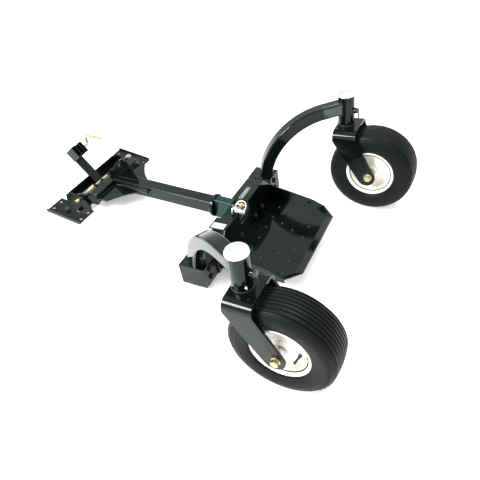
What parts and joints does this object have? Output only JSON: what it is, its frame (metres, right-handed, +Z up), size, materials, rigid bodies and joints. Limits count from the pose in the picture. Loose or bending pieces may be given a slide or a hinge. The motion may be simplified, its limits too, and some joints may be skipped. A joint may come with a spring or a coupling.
{
  "type": "stand-on sulky",
  "caption": "Stand-on platform carried by swivel casters on gooseneck arms, with a rolling tongue and a hinged bracket that bolts to a walk-behind mower.",
  "frame": {"origin": "on the floor, under the middle of the machine's bounding box", "axes": "+X to the rider's left, +Y to the rear along the direction of travel, +Z up"},
  "size_m": [1.094, 1.3032, 0.45],
  "materials": {
    "black_powder_coat": "gloss powder coat",
    "satin_black_steel": "satin black zinc",
    "tyre_rubber": "matt ribbed tread",
    "cream_paint": "gloss enamel",
    "bright_zinc_cap": "bright zinc pressing",
    "yellow_zinc": "yellow zinc",
    "plated_bolt": "clear zinc",
    "bearing_steel": "ground steel",
    "seal_rubber": "satin rubber",
    "bushing_bronze": "sintered bronze"
  },
  "bodies": {
    "chassis": {"platform_floor": "black_powder_coat", "platform_sides": "black_powder_coat", "toe_board": "black_powder_coat", "cross_beam": "black_powder_coat", "platform_bolts": "satin_black_steel", "arm_sockets": "black_powder_coat", "arm_bolts": "satin_black_steel", "gooseneck_arm_left": "black_powder_coat", "gooseneck_arm_right": "black_powder_coat", "caster_tube_left": "black_powder_coat", "caster_tube_right": "black_powder_coat", "caster_bearings": "bearing_steel", "dust_caps": "bright_zinc_cap", "tube_bolts": "satin_black_steel", "coupler_housing": "black_powder_coat", "spindle_bushings": "bushing_bronze"},
    "tongue": {"spindle": "plated_bolt", "collar": "black_powder_coat", "collar_bolts": "satin_black_steel", "tongue_tube": "black_powder_coat", "tongue_side_bar": "black_powder_coat", "head_cross_tube": "black_powder_coat", "head_wings": "black_powder_coat", "head_arms": "black_powder_coat", "pin_guides": "black_powder_coat", "sector_plate": "black_powder_coat", "hinge_pin_right": "yellow_zinc", "pin_clip_right": "yellow_zinc", "hitch_spring_left": "yellow_zinc"},
    "hitch_pin": {"hitch_pin_left": "yellow_zinc"},
    "lynch_pin": {"lynch_pin": "yellow_zinc"},
    "lynch_ring": {"lynch_ring": "plated_bolt"},
    "mower_bracket": {"hitch_channel": "black_powder_coat", "bracket_ears": "black_powder_coat", "mounting_plate_left": "black_powder_coat", "mounting_plate_right": "black_powder_coat", "plate_bolts": "satin_black_steel", "stow_bar": "black_powder_coat", "latch_block": "black_powder_coat"},
    "stow_pin": {"stow_pin": "yellow_zinc"},
    "caster_left": {"fork_left": "black_powder_coat", "kingpin_left": "plated_bolt", "fork_seal_left": "seal_rubber", "axle_bolt_left": "yellow_zinc", "axle_spacers_left": "plated_bolt"},
    "wheel_left": {"tyre_left": "tyre_rubber", "rim_left": "cream_paint", "hub_left": "cream_paint", "wheel_bearings_left": "bearing_steel", "valve_stem_left": "seal_rubber"},
    "caster_right": {"fork_right": "black_powder_coat", "kingpin_right": "plated_bolt", "fork_seal_right": "seal_rubber", "axle_bolt_right": "yellow_zinc", "axle_spacers_right": "plated_bolt"},
    "wheel_right": {"tyre_right": "tyre_rubber", "rim_right": "cream_paint", "hub_right": "cream_paint", "wheel_bearings_right": "bearing_steel", "valve_stem_right": "seal_rubber"}
  },
  "joints": [
    {"name": "caster_swivel_left", "type": "hinge", "parent": "chassis", "child": "caster_left", "pos_m": [0.456, 0.34391, 0.31924], "axis": [0, -0.2028, 0.9792], "range_deg": [-230, 75]},
    {"name": "wheel_spin_left", "type": "hinge", "parent": "caster_left", "child": "wheel_left", "pos_m": [0.456, 0.48676, 0.165], "axis": [1, 0, 0], "continuous": true},
    {"name": "caster_swivel_right", "type": "hinge", "parent": "chassis", "child": "caster_right", "pos_m": [-0.456, 0.34391, 0.31924], "axis": [0, -0.2028, 0.9792], "range_deg": [-75, 230]},
    {"name": "wheel_spin_right", "type": "hinge", "parent": "caster_right", "child": "wheel_right", "pos_m": [-0.456, 0.48676, 0.165], "axis": [1, 0, 0], "continuous": true},
    {"name": "tongue_roll", "type": "hinge", "parent": "chassis", "child": "tongue", "pos_m": [0, 0.07306, 0.1231], "axis": [0, 0.991, 0.134], "range_deg": [-20, 20]},
    {"name": "hitch_pin_pull", "type": "slide", "parent": "tongue", "child": "hitch_pin", "axis": [-1, 0, 0], "range_m": [0, 0.024], "stiffness_N_per_m": 900, "springref_m": -0.02, "deforming": ["hitch_spring_left"]},
    {"name": "lynch_pin_lift", "type": "slide", "parent": "tongue", "child": "lynch_pin", "axis": [0, -0.134, 0.991], "range_m": [0, 0.045]},
    {"name": "lynch_ring_swing", "type": "hinge", "parent": "lynch_pin", "child": "lynch_ring", "pos_m": [0, 0.12454, 0.16033], "axis": [0, 0.991, 0.134], "range_deg": [-80, 0]},
    {"name": "bracket_fold", "type": "hinge", "parent": "tongue", "child": "mower_bracket", "pos_m": [0, -0.51324, 0.03], "axis": [1, 0, 0], "range_deg": [-89, 12]},
    {"name": "stow_pin_slide", "type": "slide", "parent": "mower_bracket", "child": "stow_pin", "axis": [1, 0, 0], "range_m": [0, 0.026]}
  ]
}
